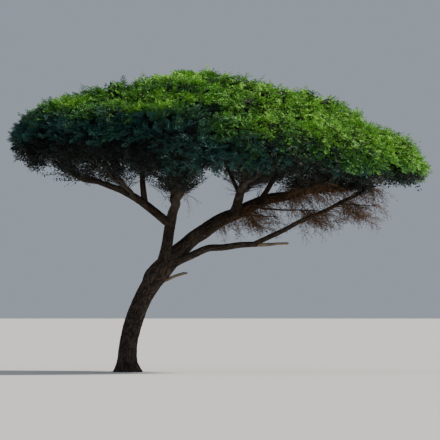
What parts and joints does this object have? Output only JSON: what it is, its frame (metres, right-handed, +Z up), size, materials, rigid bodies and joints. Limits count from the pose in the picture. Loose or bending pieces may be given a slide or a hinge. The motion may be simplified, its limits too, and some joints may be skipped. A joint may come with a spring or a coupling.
{
  "type": "flat-topped acacia tree",
  "caption": "Whole flat-topped savanna tree: a leaning trunk that forks into long spreading boughs under a wide, domed crown of fine foliage",
  "frame": {"origin": "middle of the flat cut under the trunk, at ground level", "axes": "Z up; X along the lean of the trunk, towards the longer side of the crown; Y into the crown's depth, so the side seen from -Y shows the lean from left to right"},
  "size_m": [13.1037, 11.6305, 9.516],
  "materials": {
    "bark": "rough, furrowed, dark grey-brown bark, paler on dead stubs",
    "leaf": "matt feathery foliage in mid and yellow-green",
    "dry_twig": "dry, matt orange-brown dead twigs"
  },
  "bodies": {
    "root": {"bough_back_inner": "bark", "bough_back_right": "bark", "bough_centre_back": "bark", "bough_centre_front": "bark", "bough_front_inner": "bark", "bough_left_back": "bark", "bough_left_far": "bark", "bough_left_front": "bark", "bough_left_main": "bark", "bough_left_riser": "bark", "bough_left_stem": "bark", "bough_low_inner": "bark", "bough_low_outer": "bark", "bough_right_back": "bark", "bough_right_crown": "bark", "bough_right_front": "bark", "bough_right_main": "bark", "bough_right_riser": "bark", "bough_riser_back": "bark", "bough_riser_centre": "bark", "bough_riser_front": "bark", "dry_twigs_far": "dry_twig", "dry_twigs_low": "dry_twig", "dry_twigs_near": "dry_twig", "foliage_centre": "leaf", "foliage_inner_000": "leaf", "foliage_inner_060": "leaf", "foliage_inner_120": "leaf", "foliage_inner_180": "leaf", "foliage_inner_240": "leaf", "foliage_inner_300": "leaf", "foliage_outer_015": "leaf", "foliage_outer_045": "leaf", "foliage_outer_075": "leaf", "foliage_outer_105": "leaf", "foliage_outer_135": "leaf", "foliage_outer_165": "leaf", "foliage_outer_195": "leaf", "foliage_outer_225": "leaf", "foliage_outer_255": "leaf", "foliage_outer_285": "leaf", "foliage_outer_315": "leaf", "foliage_outer_345": "leaf", "spur_dry_far": "bark", "spur_dry_low": "bark", "spur_dry_near": "bark", "stub_dead": "bark", "stub_low": "bark", "trunk": "bark"}
  },
  "joints": []
}
